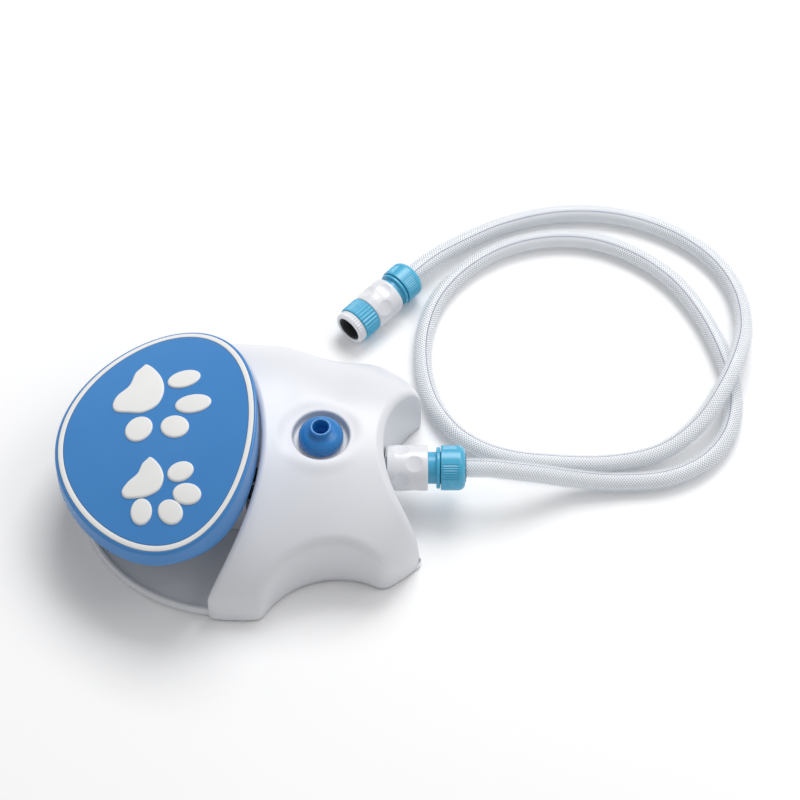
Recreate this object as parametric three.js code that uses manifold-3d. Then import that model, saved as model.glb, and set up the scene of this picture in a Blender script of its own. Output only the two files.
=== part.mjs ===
// Step-on outdoor drinking fountain for dogs, with its garden hose. Millimetres, +Z up.
// The origin is on the ground, under the middle of the fountain without its hose.
// +X runs from the pedal to the hose inlet.
import * as THREE from 'three';
import { mergeVertices } from 'three/addons/utils/BufferGeometryUtils.js';
import Module from 'manifold-3d';

const wasm = await Module();
wasm.setup();

// Driving dimensions.
const GAP = 0.35;                 // clearance between touching pieces

const HILL = {                    // the smooth white hill of the housing, with its ridge along X
  startX: -28, endX: 141, height: 79, shoulder: 5, taper: 0.0011,
  ridgeY: 12, edgeY: 114, roundX: 60.5,
  rearLength: 93.5, rearPower: 2.6, frontLength: 87, frontPower: 2.2,
  rearBulge: 0.9,
};
const SHELL_WALL = 2.6;
const SHELL_BOTTOM = 1.6;
const PEDAL_EDGE = { x: -148, y: 0, r: 165, reach: 108 };      // concave wall that faces the pedal
const FRONT_COVE = { x: 74.5, y: -142, r: 65 };
const REAR_COVE = { x: 74.5, y: 155, r: 65 };
const RIGHT_COVE = { x: 188, y: 0, r: 80 };

const BASE = { bottom: 1.2, top: 4.2, rimTop: 8.5, rimWall: 3.2 };
const TRAY = { x: -7.5, halfLength: 115, halfWidth: 108, cutX: 14, bridgeX: 25, bridgeY: 92 };

const EGG = { x: -61, halfLength: 76.5, halfWidth: 97.5, bluntness: 0.15 };
const PEDAL = {
  lowX: -137.5, lowZ: 67, slope: 0.281, arch: 0.0017,
  depth: 16, extraDepth: 13, plate: 3, wall: 2.8, frameGap: 1.2,
};
const STRIPE = { inset: 2.6, width: 3.8, sunk: 0.8, proud: 0.3 };
const PAW = { lift: 0.5, proud: 1.2 };

const HINGE = { x: -2, z: 80, pinR: 2, postY: 30, postHalf: 4, lugY: 22.4, lugHalf: 2.5 };
const PLUNGER_X = -54.5;

const NOZZLE = { x: 61.5, y: 4, pocketR: 21.3, floorZ: 70.5, baseR: 16.8, height: 18 };
const INLET = { z: 38, wallX: 108 };
const TUBE = { r: 5.4, z: 16, y: 8 };                          // soft tubes between valve, inlet and spout
const FOOT = { r: 7, height: 0.9 };
const BASE_SCREW = { r: 1.6, length: 9 };

const HOSE_R = 7.75;
const CONNECTOR_A = {
  nut: 18.5, flange: 2.4, neck: 6.3, collar: 31,
  collarR: 17.3, nutR: 17, flangeR: 15.7, neckR: 12.1,
};
const CONNECTOR_B = {
  nut: 16.5, flange: 2, neck: 5, collar: 25.4,
  collarR: 15.3, nutR: 15, flangeR: 14, neckR: 11.2,
};
const ADAPTOR = { r: 14.9, length: 14.8, ribs: 30, ribDepth: 0.7, lipR: 13.6, lip: 6.5, boreR: 9.6 };
const FOUNTAIN_NUT_X = 169.8;                                   // hose face of the fountain's connector
const TAP_END = { x: 128.9, y: 196.3, heading: -133, z: 15.4 };      // hose end of the tap connector

// Materials.
function paint(colour, roughness, metalness = 0) {
  return new THREE.MeshStandardMaterial({ color: colour, roughness, metalness });
}
const WHITE = paint(0xe8e9ec, 0.35);
const BLUE = paint(0x3f86c6, 0.35);
const NOZZLE_BLUE = paint(0x2a7fc4, 0.3);
const CYAN = paint(0x45a9cf, 0.3);
const RUBBER = paint(0x2b2d30, 0.8);
const STEEL = paint(0xb8bcc0, 0.3, 1);
const GREY = paint(0x8c9096, 0.5);
const HOSE_CLEAR = paint(0xc9d3de, 0.25);

const fountain = new THREE.Group();

function add(parent, name, piece, material) {
  const geometry = piece instanceof THREE.BufferGeometry ? piece : toGeometry(piece);
  const mesh = new THREE.Mesh(geometry, material);
  mesh.name = name;
  parent.add(mesh);
  return mesh;
}

// Closed solids.
// Merges shared vertices, drops empty triangles, and turns the faces outwards.
function closed(geometry) {
  const bare = geometry.clone();
  for (const attribute of ['normal', 'uv']) bare.deleteAttribute(attribute);
  const merged = mergeVertices(bare, 1e-4);
  const position = merged.attributes.position;
  const corner = (i) => new THREE.Vector3().fromBufferAttribute(position, i);
  const kept = [];
  let volume = 0;
  for (let i = 0; i < merged.index.count; i += 3) {
    const [a, b, c] = [0, 1, 2].map((k) => merged.index.getX(i + k));
    if (a === b || b === c || c === a) continue;
    kept.push([a, b, c]);
    volume += corner(a).dot(corner(b).cross(corner(c)));
  }
  merged.setIndex((volume < 0 ? kept.map(([a, b, c]) => [a, c, b]) : kept).flat());
  merged.computeVertexNormals();
  return merged;
}

function toSolid(geometry) {
  const ready = closed(geometry);
  return new wasm.Manifold(new wasm.Mesh({
    numProp: 3,
    vertProperties: new Float32Array(ready.attributes.position.array),
    triVerts: new Uint32Array(ready.index.array),
  }));
}

function toGeometry(solid) {
  const mesh = solid.getMesh();
  const geometry = new THREE.BufferGeometry();
  geometry.setAttribute('position', new THREE.BufferAttribute(mesh.vertProperties, 3));
  geometry.setIndex(new THREE.BufferAttribute(mesh.triVerts, 1));
  geometry.computeVertexNormals();
  return geometry;
}

const solidOf = (piece) => (piece instanceof THREE.BufferGeometry ? toSolid(piece) : piece);
const join = (...pieces) => pieces.map(solidOf).reduce((sum, piece) => sum.add(piece));
const cut = (piece, ...tools) => tools.map(solidOf)
  .reduce((left, tool) => left.subtract(tool), solidOf(piece));
const common = (first, second) => solidOf(first).intersect(solidOf(second));

// Skins a row of closed loops that have equal numbers of points. The row's ends are
// capped to their middle points, or the last loop joins the first.
function skin(loops, endless = false) {
  const count = loops[0].length;
  const vertices = loops.flat();
  const faces = [];
  const rows = endless ? loops.length : loops.length - 1;
  for (let row = 0; row < rows; row += 1) {
    for (let i = 0; i < count; i += 1) {
      const a = row * count + i;
      const b = row * count + ((i + 1) % count);
      const shift = ((row + 1) % loops.length) * count - row * count;
      faces.push(a, b, b + shift, a, b + shift, a + shift);
    }
  }
  if (!endless) {
    for (const [row, flip] of [[0, true], [loops.length - 1, false]]) {
      const middle = loops[row].reduce((sum, p) => sum.clone().add(p)).divideScalar(count);
      const pole = vertices.push(middle) - 1;
      for (let i = 0; i < count; i += 1) {
        const a = row * count + i;
        const b = row * count + ((i + 1) % count);
        faces.push(...(flip ? [b, a, pole] : [a, b, pole]));
      }
    }
  }
  const geometry = new THREE.BufferGeometry().setFromPoints(vertices);
  geometry.setIndex(faces);
  return closed(geometry);
}

// A turned piece on the Z axis. The profile is a list of [radius, z].
function turned(profile, sides = 20) {
  const points = profile.map(([radius, z]) => new THREE.Vector2(radius, z));
  return closed(new THREE.LatheGeometry(points, sides).rotateX(Math.PI / 2));
}

function tubePiece(outer, inner, z0, z1, sides = 16) {
  return turned([[inner, z0], [outer, z0], [outer, z1], [inner, z1], [inner, z0]], sides);
}

function rod(radius, z0, z1, sides = 20) {
  return closed(new THREE.CylinderGeometry(radius, radius, z1 - z0, sides)
    .rotateX(Math.PI / 2).translate(0, 0, (z0 + z1) / 2));
}

function hexNut(corner, bore, z0, z1) {
  return cut(rod(corner, z0, z1, 6), rod(bore, z0 - 1, z1 + 1));
}

function block(x0, x1, y0, y1, z0, z1) {
  return closed(new THREE.BoxGeometry(x1 - x0, y1 - y0, z1 - z0)
    .translate((x0 + x1) / 2, (y0 + y1) / 2, (z0 + z1) / 2));
}

function plate(outline, z0, z1) {
  const shape = new THREE.Shape(outline);
  const prism = new THREE.ExtrudeGeometry(shape, { depth: z1 - z0, bevelEnabled: false });
  return closed(prism.translate(0, 0, z0));
}

// A round tube along a smooth curve through the given points.
function hoseAlong(points, radius, sides, steps) {
  const path = new THREE.CatmullRomCurve3(points.map((p) => new THREE.Vector3(...p)), false, 'centripetal');
  const section = new THREE.Shape();
  section.absarc(0, 0, radius, 0, Math.PI * 2);
  return closed(new THREE.ExtrudeGeometry(section, { steps, curveSegments: sides / 2, extrudePath: path }));
}

// Outlines.
function arcPoints(centre, from, to, count) {
  return Array.from({ length: count + 1 }, (_, i) => {
    const angle = from + ((to - from) * i) / count;
    return new THREE.Vector2(centre.x + centre.r * Math.cos(angle), centre.y + centre.r * Math.sin(angle));
  });
}

function angleAt(centre, x, y) {
  return Math.atan2(y - centre.y, x - centre.x);
}

// Moves every point of a counter-clockwise outline along its normal, inwards when positive,
// and drops the points that a tight corner would fold over.
function inset(outline, distance) {
  const count = outline.length;
  const moved = outline.map((point, i) => {
    const along = outline[(i + 1) % count].clone().sub(outline[(i + count - 1) % count]).normalize();
    return new THREE.Vector2(point.x - along.y * distance, point.y + along.x * distance);
  });
  return moved.filter((point) => distanceTo(outline, point) > Math.abs(distance) * 0.97);
}

function distanceTo(outline, point) {
  const gaps = outline.map((from, i) => {
    const side = outline[(i + 1) % outline.length].clone().sub(from);
    const offset = point.clone().sub(from);
    const share = THREE.MathUtils.clamp(offset.dot(side) / side.lengthSq(), 0, 1);
    return offset.sub(side.multiplyScalar(share)).length();
  });
  return Math.min(...gaps);
}

// The housing seen from above: four feet with coves between them, and the pedal's edge.
function bodyOutline() {
  const edgeAngle = Math.asin(PEDAL_EDGE.reach / PEDAL_EDGE.r);
  const frontStart = angleAt(FRONT_COVE, 16.8, -110);
  const frontEnd = angleAt(FRONT_COVE, 103, -83.5);
  const coveReach = Math.asin(61 / RIGHT_COVE.r);
  const rearStart = angleAt(REAR_COVE, 107, 99);
  const rearEnd = angleAt(REAR_COVE, 25.8, 112);
  const corners = (list) => list.map(([x, y]) => new THREE.Vector2(x, y));
  return [
    ...corners([[-19, -110.8], [-8, -111.8], [8, -112], [13.5, -111.6]]),
    ...arcPoints(FRONT_COVE, frontStart, frontEnd, 12),
    ...corners([[106, -85], [113, -83.5], [122.5, -76.5], [134, -66.5], [137, -63.5]]),
    ...arcPoints(RIGHT_COVE, Math.PI + coveReach, Math.PI - coveReach, 12),
    ...corners([[137.2, 64], [135.5, 72], [130, 81], [121, 91], [112, 99], [109, 99.8]]),
    ...arcPoints(REAR_COVE, rearStart, rearEnd, 10),
    ...corners([[13.5, 111.6], [8, 112], [-8, 111.8], [-19, 110.8]]),
    ...arcPoints(PEDAL_EDGE, edgeAngle, -edgeAngle, 18),
  ];
}

function trayOutline(shrink) {
  return Array.from({ length: 48 }, (_, i) => {
    const angle = (i / 48) * Math.PI * 2;
    return new THREE.Vector2(
      TRAY.x + (TRAY.halfLength - shrink) * Math.cos(angle),
      (TRAY.halfWidth - shrink) * Math.sin(angle),
    );
  });
}

// The pedal seen from above: an egg whose blunt end is towards the housing.
function eggOutline(shrink, count = 44) {
  const outline = Array.from({ length: count }, (_, i) => {
    const angle = (i / count) * Math.PI * 2;
    return new THREE.Vector2(
      EGG.x + EGG.halfLength * Math.cos(angle),
      EGG.halfWidth * Math.sin(angle) * (1 + EGG.bluntness * Math.cos(angle)),
    );
  });
  return shrink ? inset(outline, shrink) : outline;
}

function ovalOutline(x, y, long, short, turnDegrees, count = 16) {
  const turn = THREE.MathUtils.degToRad(turnDegrees);
  return Array.from({ length: count }, (_, i) => {
    const angle = (i / count) * Math.PI * 2;
    return new THREE.Vector2(long * Math.cos(angle), short * Math.sin(angle))
      .rotateAround(new THREE.Vector2(), turn).add(new THREE.Vector2(x, y));
  });
}

function smoothOutline(points, count = 32) {
  const corners = points.map(([x, y]) => new THREE.Vector3(x, y, 0));
  const loop = new THREE.CatmullRomCurve3(corners, true, 'centripetal');
  return loop.getPoints(count).slice(0, -1).map((p) => new THREE.Vector2(p.x, p.y));
}

// The housing.
function smoothStep(t) {
  const clamped = Math.min(1, Math.max(0, t));
  return clamped * clamped * (3 - 2 * clamped);
}

function hillHeight(x) {
  const rise = HILL.shoulder * (1 - smoothStep((x + 10) / 50));
  return HILL.height + rise - HILL.taper * Math.max(0, x - HILL.roundX) ** 2;
}

// The distance from the ridge to the hill's foot.
function hillHalfWidth(x, rear) {
  const [length, power] = rear ? [HILL.rearLength, HILL.rearPower] : [HILL.frontLength, HILL.frontPower];
  const foot = HILL.edgeY * Math.sqrt(1 - (Math.max(0, x - HILL.roundX) / length) ** power);
  return rear ? foot - HILL.ridgeY : foot + HILL.ridgeY;
}

// The power of the section's curve: two is an ellipse, more is squarer. The rear shoulder
// is squarer beside the pedal.
function hillPower(x, rear) {
  return rear ? 2 + HILL.rearBulge * (1 - smoothStep((x - 30) / 50)) : 2;
}

// The hill as a row of arched sections along X, shrunk all round by a wall.
function hill(shrink, floor) {
  const sections = 18;
  const arcSteps = 24;
  const loops = Array.from({ length: sections + 1 }, (_, i) => {
    const x = HILL.startX + ((HILL.endX - HILL.startX) * i) / sections;
    const top = hillHeight(x) - shrink;
    const arc = Array.from({ length: arcSteps + 1 }, (_unused, j) => {
      const angle = (j / arcSteps) * Math.PI;
      const rear = angle < Math.PI / 2;
      const width = hillHalfWidth(x, rear) - shrink;
      const share = 2 / hillPower(x, rear);
      const across = Math.sign(Math.cos(angle)) * Math.abs(Math.cos(angle)) ** share;
      const up = Math.max(0, Math.sin(angle)) ** share;
      return new THREE.Vector3(x, HILL.ridgeY + width * across, Math.max(floor, top * up));
    });
    return arc;
  });
  return skin(loops.map((loop) => [
    new THREE.Vector3(loop[0].x, loop[0].y, floor - 1), ...loop,
    new THREE.Vector3(loop[arcSteps].x, loop[arcSteps].y, floor - 1),
  ]));
}

function topShell() {
  const outline = bodyOutline();
  const skinOutside = common(hill(0, SHELL_BOTTOM), plate(outline, SHELL_BOTTOM, 130));
  const hollow = common(hill(SHELL_WALL, 0), plate(inset(outline, SHELL_WALL), -1, 130));
  const at = (geometry) => geometry.translate(NOZZLE.x, NOZZLE.y, 0);
  const cup = common(skinOutside, at(rod(NOZZLE.pocketR + SHELL_WALL, NOZZLE.floorZ - 2.5, 130, 36)));
  const pocket = at(rod(NOZZLE.pocketR, NOZZLE.floorZ, 130, 36));
  const stemHole = at(rod(12.3, NOZZLE.floorZ - 12, 130, 28));
  const inletHole = rod(8.4, -12, 12).rotateY(Math.PI / 2).translate(INLET.wallX, 0, INLET.z);
  const walls = join(cut(skinOutside, hollow), cup);
  const tubeWay = block(5, 30, -17, 17, 8.5, 25);
  return cut(walls, pocket, stemHole, inletHole, tubeWay, trayFloor(GAP, -1, BASE.top + GAP));
}

// The part of the tray's floor that lies left of the housing and passes under its edge wall.
function trayFloor(grow, z0, z1) {
  const reach = join(
    block(-140, TRAY.cutX + grow, -130, 130, z0 - 1, z1 + 1),
    block(0, TRAY.bridgeX + grow, -TRAY.bridgeY - grow, TRAY.bridgeY + grow, z0 - 1, z1 + 1),
  );
  return common(plate(trayOutline(-grow), z0, z1), reach);
}

function baseTray() {
  const outline = bodyOutline();
  const floor = plate(inset(outline, SHELL_WALL + 0.5), BASE.bottom, BASE.top);
  const ring = cut(plate(trayOutline(0), BASE.bottom, BASE.rimTop), plate(trayOutline(BASE.rimWall), 0, 20));
  const outside = cut(block(-140, TRAY.cutX, -130, 130, 0, 20), plate(inset(outline, -GAP), -1, 30));
  return join(trayFloor(0, BASE.bottom, BASE.top), floor, common(ring, outside));
}

function addHousing() {
  add(fountain, 'top_shell', topShell(), WHITE);
  add(fountain, 'base_tray', baseTray(), WHITE);
  const feet = {
    rear_right: [122, 74], front_right: [120, -68], rear_left: [-30, 92], front_left: [-30, -92],
  };
  for (const [corner, [x, y]] of Object.entries(feet)) {
    const foot = rod(FOOT.r, 0, FOOT.height, 20);
    add(fountain, `rubber_foot_${corner}`, foot, RUBBER).position.set(x, y, 0);
  }
  const screws = {
    rear_right: [96, 62], front_right: [96, -58], rear_left: [32, 88], front_left: [32, -84],
  };
  for (const [corner, [x, y]] of Object.entries(screws)) {
    const screw = rod(BASE_SCREW.r, 0, BASE_SCREW.length, 12);
    const mesh = add(fountain, `base_screw_${corner}`, screw, STEEL);
    mesh.position.set(x, y, BASE.top + GAP);
  }
}

// The pedal.
function pedalTop(x, y) {
  return PEDAL.lowZ + (x - PEDAL.lowX) * PEDAL.slope - PEDAL.arch * y * y;
}

// The skirt gets deeper towards the housing, so that it closes the gap over the housing's edge.
function skirtDepth(x) {
  return PEDAL.depth + PEDAL.extraDepth * smoothStep((x + 45) / 60);
}

// The height above the pedal's top is a number, or a function of the point.
function lifted(outline, height) {
  const above = typeof height === 'function' ? height : () => height;
  return outline.map((p) => new THREE.Vector3(p.x, p.y, pedalTop(p.x, p.y) + above(p)));
}

function towards(outline, centre, share) {
  return outline.map((p) => p.clone().sub(centre).multiplyScalar(share).add(centre));
}

// A layer that follows the pedal's top, between two heights above it.
function layer(outline, bottom, top, rows = 3) {
  const centre = outline.reduce((sum, p) => sum.clone().add(p)).divideScalar(outline.length);
  const shares = Array.from({ length: rows }, (_, i) => (i + 1) / rows);
  return skin([
    ...shares.map((share) => lifted(towards(outline, centre, share), top)),
    ...shares.reverse().map((share) => lifted(towards(outline, centre, share), bottom)),
  ]);
}

function band(outer, inner, bottom, top) {
  return skin([lifted(inner, top), lifted(outer, top), lifted(outer, bottom), lifted(inner, bottom)], true);
}

function pawPieces() {
  const rearPad = [[-72.1, 67], [-60, 53], [-56, 36.5], [-60.5, 23.5], [-71, 18.5], [-82, 20.5],
    [-92.5, 24], [-95, 30], [-92.3, 38.3], [-83.3, 47], [-78.6, 60.5]];
  const frontPad = [[-64.5, -22], [-56, -31], [-53, -41.5], [-56.2, -50], [-64, -53.5], [-73, -53.8],
    [-82, -52], [-84.4, -46.8], [-80.2, -40.2], [-73.1, -34.3], [-69.2, -26]];
  return {
    rear_paw_pad: smoothOutline(rearPad),
    front_paw_pad: smoothOutline(frontPad),
    rear_paw_toe_1: ovalOutline(-41.2, 45, 12.6, 8.6, 4),
    rear_paw_toe_2: ovalOutline(-33.2, 19.4, 13.8, 8.6, -5),
    rear_paw_toe_3: ovalOutline(-46.3, 1, 11.6, 9.3, -35),
    rear_paw_toe_4: ovalOutline(-73.6, 3.9, 10.5, 11, 0),
    front_paw_toe_1: ovalOutline(-40.6, -38, 9.9, 8, 2),
    front_paw_toe_2: ovalOutline(-35.2, -56.5, 11.2, 8, -24),
    front_paw_toe_3: ovalOutline(-47.2, -68.4, 10.8, 8.2, -48),
    front_paw_toe_4: ovalOutline(-69, -64.9, 8, 10.2, 12),
  };
}

function pedalCover() {
  const shellOutside = layer(eggOutline(0), (p) => -skirtDepth(p.x), 0);
  const inside = layer(eggOutline(PEDAL.wall), (p) => -skirtDepth(p.x) - 5, -PEDAL.plate);
  const stripeSeat = band(
    eggOutline(STRIPE.inset - GAP), eggOutline(STRIPE.inset + STRIPE.width + GAP), -STRIPE.sunk - GAP, 2,
  );
  return cut(shellOutside, inside, stripeSeat);
}

// The stiff frame under the cover: a plate with two lugs for the hinge pin and a
// flat anvil that meets the plunger.
function pedalFrame() {
  const topGap = PEDAL.plate + PEDAL.frameGap;
  const sheet = layer(eggOutline(PEDAL.wall + 12, 40), -topGap - 3, -topGap);
  const under = (x, y) => pedalTop(x, y) - topGap - 1;
  const lugs = [-1, 1].map((side) => {
    const y = side * HINGE.lugY;
    const web = block(
      HINGE.x - 6, HINGE.x + 6, y - HINGE.lugHalf, y + HINGE.lugHalf, HINGE.z - 5, under(HINGE.x - 6, y),
    );
    return cut(web, rod(HINGE.pinR + 1.6, -8, 8, 20).rotateX(Math.PI / 2).translate(HINGE.x, y, HINGE.z));
  });
  const anvil = block(PLUNGER_X - 8, PLUNGER_X + 8, -8, 8, 75, under(PLUNGER_X - 8, 0));
  return join(sheet, ...lugs, anvil);
}

function addPedal() {
  add(fountain, 'pedal_cover', pedalCover(), BLUE);
  add(fountain, 'pedal_frame', pedalFrame(), GREY);
  const stripe = band(
    eggOutline(STRIPE.inset), eggOutline(STRIPE.inset + STRIPE.width), -STRIPE.sunk, STRIPE.proud,
  );
  add(fountain, 'pedal_pinstripe', stripe, WHITE);
  for (const [name, outline] of Object.entries(pawPieces())) {
    add(fountain, name, layer(outline, PAW.lift, PAW.proud, 2), WHITE);
  }
  for (const [name, y] of [['frame_screw_rear', 52], ['frame_screw_front', -52]]) {
    const screw = add(fountain, name, rod(3.2, 0, 2, 16), STEEL);
    screw.position.set(EGG.x, y, pedalTop(EGG.x, y) - PEDAL.plate - PEDAL.frameGap - 6.5);
  }
}

// The hinge.
function addHinge() {
  for (const [name, side] of [['rear', 1], ['front', -1]]) {
    const y = side * HINGE.postY;
    const [low, high] = [y - HINGE.postHalf, y + HINGE.postHalf];
    const foot = block(HINGE.x - 13, HINGE.x + 9, low, high, BASE.top + GAP, 14);
    const post = block(HINGE.x - 7, HINGE.x + 7, low, high, 13, HINGE.z + 7);
    const eye = rod(HINGE.pinR + GAP, -8, 8, 20).rotateX(Math.PI / 2).translate(HINGE.x, y, HINGE.z);
    add(fountain, `pivot_post_${name}`, cut(join(foot, post), eye), WHITE);
    const bush = tubePiece(HINGE.pinR + 1.3, HINGE.pinR + 0.3, -HINGE.lugHalf, HINGE.lugHalf, 20)
      .rotateX(Math.PI / 2);
    add(fountain, `pivot_bush_${name}`, bush, GREY).position.set(HINGE.x, side * HINGE.lugY, HINGE.z);
  }
  const half = HINGE.postY + HINGE.postHalf + 1;
  const pin = turned([[0, -half - 2.5], [HINGE.pinR + 1.6, -half - 2.5], [HINGE.pinR + 1.6, -half],
    [HINGE.pinR, -half], [HINGE.pinR, half + 1.5], [0, half + 1.5]], 20).rotateX(-Math.PI / 2);
  add(fountain, 'hinge_pin', pin, STEEL).position.set(HINGE.x, 0, HINGE.z);
  const clip = tubePiece(HINGE.pinR + 1.8, HINGE.pinR + 0.3, 0, 0.8, 16).rotateX(-Math.PI / 2);
  add(fountain, 'hinge_pin_clip', clip, STEEL).position.set(HINGE.x, half - 0.4, HINGE.z);
}

// The valve under the pedal.
const VALVE = { r: 15, floor: BASE.top + GAP, top: 40, portZ: 16, capTop: 48 };

function addValve() {
  const valve = new THREE.Group();
  valve.position.set(PLUNGER_X, 0, 0);
  fountain.add(valve);
  const can = turned([[0, VALVE.floor], [VALVE.r, VALVE.floor], [VALVE.r, VALVE.top],
    [VALVE.r - 3, VALVE.top], [VALVE.r - 3, 26], [6, 26], [6, 10], [0, 10]]);
  const port = (side) => rod(5, 12, 28, 16).rotateX(-Math.PI / 2).rotateZ(-Math.PI / 2)
    .translate(0, side * 8, VALVE.portZ);
  const bore = (side) => rod(3, 3, 30, 16).rotateX(-Math.PI / 2).rotateZ(-Math.PI / 2)
    .translate(0, side * 8, VALVE.portZ);
  const body = cut(join(can, port(1), port(-1)), bore(1), bore(-1), rod(6, 10, 40));
  add(valve, 'valve_body', body, GREY);
  add(valve, 'valve_seat_seal', tubePiece(VALVE.r - 3.5, 4.6, 26.35, 28.2), RUBBER);
  const capFoot = VALVE.top + GAP;
  const cap = turned([[5.4, 33], [VALVE.r - 3.4, 33], [VALVE.r - 3.4, capFoot],
    [VALVE.r + 0.6, capFoot], [VALVE.r + 0.6, VALVE.capTop], [5.4, VALVE.capTop], [5.4, 33]]);
  add(valve, 'valve_cap', cap, GREY);
  add(valve, 'stem_seal', tubePiece(8.5, 4.5, 29.8, 32.5), RUBBER);
  const plunger = turned([[0, 18], [3.4, 18], [3.4, 26], [3.9, 30], [3.9, 68],
    [9.5, 69], [9.5, 70.5], [4, 74.2], [0, 74.6]]);
  add(valve, 'valve_plunger', plunger, WHITE);
  add(valve, 'return_spring', springCoil(), STEEL);
}

// A compression spring round the plunger, between the valve cap and the plunger's head.
function springCoil() {
  const turns = 4;
  const perTurn = 10;
  const wire = 0.8;
  const [low, high] = [VALVE.capTop + wire + 0.3, 68 - wire - 0.6];
  const points = Array.from({ length: turns * perTurn + 1 }, (_, i) => {
    const angle = (i / perTurn) * Math.PI * 2;
    return [6.6 * Math.cos(angle), 6.6 * Math.sin(angle), low + ((high - low) * i) / (turns * perTurn)];
  });
  return hoseAlong(points, wire, 6, turns * perTurn);
}

// The water path.
function addWaterPath() {
  const inlet = new THREE.Group();
  inlet.position.set(INLET.wallX, 0, INLET.z);
  inlet.rotation.y = Math.PI / 2;
  fountain.add(inlet);
  const nipple = turned([[4, -18], [5.5, -18], [5.5, -12], [8, -12], [8, 5.5], [6.9, 5.5], [6.9, 8], [8, 8],
    [8, 11], [6.5, 14.5], [4, 14.5], [4, -18]]);
  add(inlet, 'inlet_nipple', nipple, WHITE);
  add(inlet, 'inlet_nut', hexNut(13, 8.35, -8, -3.1), GREY);
  add(inlet, 'inlet_o_ring', tubePiece(8.2, 7.2, 5.8, 7.7), RUBBER);

  const out = new THREE.Group();
  out.position.set(NOZZLE.x, NOZZLE.y, 0);
  fountain.add(out);
  out.position.z = NOZZLE.floorZ;
  const { baseR, height } = NOZZLE;
  const spray = turned([[3, -19], [4.6, -19], [4.6, -14], [11.9, -14], [11.9, 1.4], [baseR, 1.4], [baseR, 4],
    [15.8, 7], [13.6, 10], [10.4, 12.4], [7.2, 13.6], [6.8, 15.2], [8.15, 15.8],
    [8.15, height - 0.6], [7.6, height], [5.75, height], [5.75, 7], [3, 5], [3, -19]], 24);
  add(out, 'nozzle', spray, NOZZLE_BLUE);
  add(out, 'nozzle_gasket', tubePiece(15.5, 12.3, GAP, 1.05), RUBBER);
  add(out, 'nozzle_nut', hexNut(16.5, 12.3, -9, -2.5 - GAP), GREY);

  const portX = PLUNGER_X + 28;
  const inletRoute = [[89.6, 0, INLET.z], [80, 0, INLET.z], [66, 6, 33], [40, 8, 22], [14, TUBE.y, 16.5],
    [portX + 0.4, TUBE.y, TUBE.z]];
  const outletRoute = [[portX + 0.4, -TUBE.y, TUBE.z], [-5, -TUBE.y, TUBE.z], [22, -8, 18],
    [44, -9.5, 22], [57, -9, 31], [61.5, -3, 40], [NOZZLE.x, NOZZLE.y, NOZZLE.floorZ - 25],
    [NOZZLE.x, NOZZLE.y, NOZZLE.floorZ - 19.4]];
  add(fountain, 'inlet_tube', hoseAlong(inletRoute, TUBE.r, 8, 16), RUBBER);
  add(fountain, 'outlet_tube', hoseAlong(outletRoute, TUBE.r, 8, 18), RUBBER);
  const clips = { inlet_port: TUBE.y, outlet_port: -TUBE.y };
  for (const [name, y] of Object.entries(clips)) {
    const clip = add(fountain, `hose_clip_${name}`, tubePiece(7, 6, -2, 2, 16), STEEL);
    clip.position.set(portX + 5, y, TUBE.z);
    clip.rotation.y = Math.PI / 2;
  }
}

// The quick connectors.
// Each is built along local +Z, from the hose end of its nut at zero to its mouth.
function ribbed(radius, depth, count, z0, z1) {
  const outline = Array.from({ length: count * 2 }, (_, i) => {
    const angle = (i / (count * 2)) * Math.PI * 2;
    const reach = radius - (i % 2) * depth;
    return new THREE.Vector2(reach * Math.cos(angle), reach * Math.sin(angle));
  });
  return plate(outline, z0, z1);
}

function addConnector(group, tag, size) {
  const flange0 = size.nut + 1;
  const neck0 = flange0 + size.flange;
  const collar0 = neck0 + size.neck;
  const mouth = collar0 + size.collar;
  const nut = turned([[HOSE_R + 0.4, 0], [size.nutR - 2.5, 0], [size.nutR, 2.5], [size.nutR, size.nut],
    [size.neckR + 0.6, size.nut], [size.neckR + 0.6, 8], [HOSE_R + 0.4, 8], [HOSE_R + 0.4, 0]], 24);
  add(group, `hose_nut_${tag}`, nut, CYAN);
  const body = turned([[5, 8.4], [size.neckR, 8.4], [size.neckR, flange0], [size.flangeR, flange0],
    [size.flangeR, neck0], [size.neckR, neck0], [size.neckR, mouth - 2], [8.6, mouth - 2],
    [8.6, mouth - 19], [5, mouth - 19], [5, 8.4]], 24);
  add(group, `connector_body_${tag}`, body, CYAN);
  const collar = new THREE.Group();
  collar.position.z = collar0;
  group.add(collar);
  const sleeve = tubePiece(size.collarR, size.neckR + 0.4, 0, size.collar, 24);
  const ball = new THREE.SphereGeometry(9, 10, 7).scale(1, 1, 0.9)
    .translate(size.collarR + 7.3, 0, size.collar * 0.58);
  const dimples = Array.from({ length: 8 }, (_, i) => ball.clone().rotateZ((i / 8 + 1 / 16) * Math.PI * 2));
  add(collar, `release_collar_${tag}`, cut(sleeve, ...dimples), WHITE);
  return mouth;
}

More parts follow.
